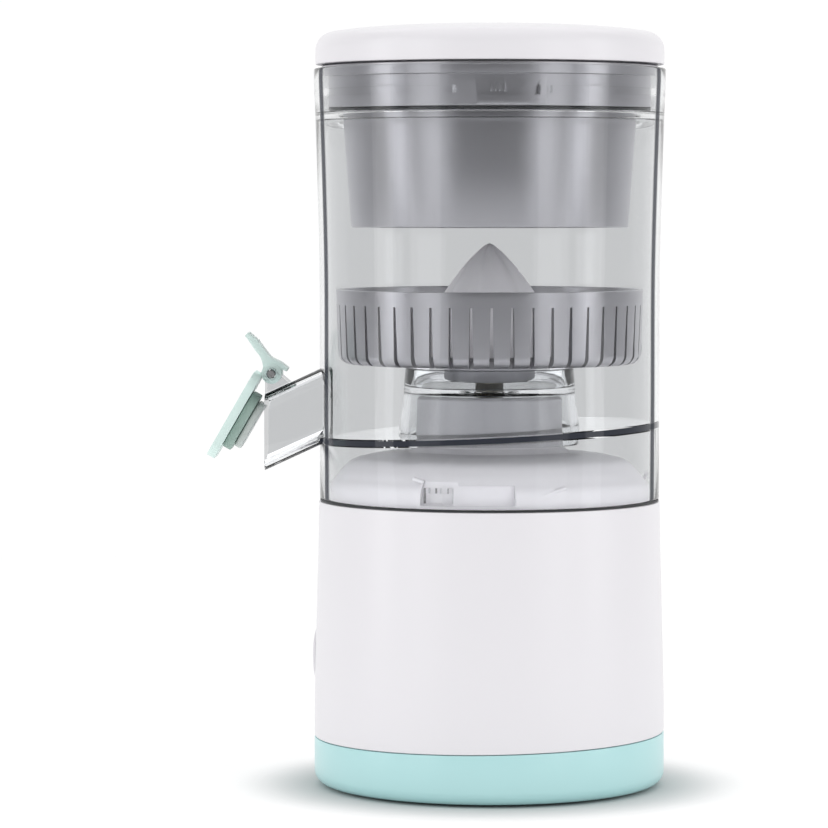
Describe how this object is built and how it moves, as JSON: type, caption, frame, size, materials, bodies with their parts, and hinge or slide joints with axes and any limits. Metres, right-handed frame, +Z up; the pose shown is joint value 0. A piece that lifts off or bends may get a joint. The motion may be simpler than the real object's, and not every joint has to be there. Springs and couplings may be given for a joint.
{
  "type": "citrus press juicer",
  "caption": "Cordless citrus press juicer: battery base with side button, clear jar with flap spout, spinning filter basket and reamer, twist lid with sprung presser.",
  "frame": {"origin": "centre of the foot pad's underside, on the drive axis", "axes": "+Z up along the drive axis, -X towards the spout, -Y the front"},
  "size_m": [0.149, 0.115, 0.2492],
  "materials": {
    "shell_white": "moulded, polished",
    "dome_white": "moulded, satin",
    "aqua_plastic": "moulded, satin",
    "mint_plastic": "moulded, satin",
    "grey_plastic": "moulded, satin",
    "clear_plastic": "moulded clear plastic",
    "reamer_plastic": "moulded, satin",
    "silicone": "moulded silicone",
    "flap_silicone": "moulded silicone",
    "pad_rubber": "moulded rubber",
    "steel": "turned",
    "zinc_screw": "zinc plated",
    "bronze": "sintered",
    "nylon": "moulded nylon",
    "board": "solder mask",
    "cell_wrap": "shrink wrap",
    "black_plastic": "moulded"
  },
  "bodies": {
    "base": {"foot_pad": "pad_rubber", "bottom_cover": "aqua_plastic", "base_shell": "shell_white", "base_dome": "dome_white", "shaft_bush": "bronze", "idler_axle": "steel", "motor_can": "steel", "gear_plate": "steel", "battery_holder": "black_plastic", "battery_cell_1": "cell_wrap", "battery_cell_2": "cell_wrap", "control_board": "board", "push_switch": "black_plastic", "charge_socket": "steel", "button_bezel": "shell_white", "cover_screw_1": "zinc_screw", "cover_screw_2": "zinc_screw", "cover_screw_3": "zinc_screw", "cover_screw_4": "zinc_screw", "plate_screw_1": "zinc_screw", "plate_screw_2": "zinc_screw", "plate_screw_3": "zinc_screw"},
    "drive": {"drive_shaft": "steel", "drive_coupler": "nylon", "output_gear": "nylon"},
    "idler": {"idler_gear": "nylon"},
    "rotor": {"motor_shaft": "steel", "motor_pinion": "bronze"},
    "button": {"power_button": "aqua_plastic"},
    "jar_ring": {"jar_seal": "silicone"},
    "jar": {"juice_jar": "clear_plastic", "spout_pin": "steel"},
    "flap": {"spout_flap": "mint_plastic", "spout_gasket": "flap_silicone", "spout_plug": "grey_plastic"},
    "basket": {"filter_basket": "grey_plastic", "reamer_cone": "reamer_plastic"},
    "lid_ring": {"lid_seal": "silicone"},
    "lid": {"lid_cap": "shell_white", "lid_collar": "grey_plastic", "lid_screw_1": "zinc_screw", "lid_screw_2": "zinc_screw", "lid_screw_3": "zinc_screw"},
    "presser": {"presser_cup": "grey_plastic", "presser_stem": "grey_plastic", "presser_spring": "steel"}
  },
  "joints": [
    {"name": "drive_spin", "type": "hinge", "parent": "base", "child": "drive", "pos_m": [0, 0, 0.07], "axis": [0, 0, 1], "continuous": true},
    {"name": "idler_spin", "type": "hinge", "parent": "base", "child": "idler", "pos_m": [0, 0.024, 0.066], "axis": [0, 0, 1], "continuous": true},
    {"name": "motor_spin", "type": "hinge", "parent": "base", "child": "rotor", "pos_m": [0.02078, 0.012, 0.066], "axis": [0, 0, 1], "continuous": true},
    {"name": "button_press", "type": "slide", "parent": "base", "child": "button", "axis": [0.9903, -0.1392, 0], "range_m": [0, 0.0012], "stiffness_N_per_m": 900, "springref_m": -0.0006},
    {"name": "jar_lift", "type": "slide", "parent": "base", "child": "jar_ring", "axis": [0, 0, 1], "range_m": [0, 0.06]},
    {"name": "jar_twist", "type": "hinge", "parent": "jar_ring", "child": "jar", "pos_m": [0, 0, 0.0944], "axis": [0, 0, 1], "range_deg": [0, 20]},
    {"name": "flap_hinge", "type": "hinge", "parent": "jar", "child": "flap", "pos_m": [-0.0713, 0, 0.1353], "axis": [0, -1, 0], "range_deg": [-38, 30]},
    {"name": "basket_spin", "type": "hinge", "parent": "jar", "child": "basket", "pos_m": [0, 0, 0.14], "axis": [0, 0, 1], "continuous": true},
    {"name": "lid_lift", "type": "slide", "parent": "jar", "child": "lid_ring", "axis": [0, 0, 1], "range_m": [0, 0.07]},
    {"name": "lid_twist", "type": "hinge", "parent": "lid_ring", "child": "lid", "pos_m": [0, 0, 0.2209], "axis": [0, 0, -1], "range_deg": [0, 20]},
    {"name": "presser_slide", "type": "slide", "parent": "lid", "child": "presser", "axis": [0, 0, 1], "range_m": [0, 0.015], "stiffness_N_per_m": 400, "springref_m": -0.01, "deforming": ["presser_spring"]}
  ],
  "couplings": [
    {"joint": "idler_spin", "follows": "drive_spin", "ratio": -3},
    {"joint": "motor_spin", "follows": "drive_spin", "ratio": 12},
    {"joint": "basket_spin", "follows": "drive_spin", "ratio": 1}
  ]
}
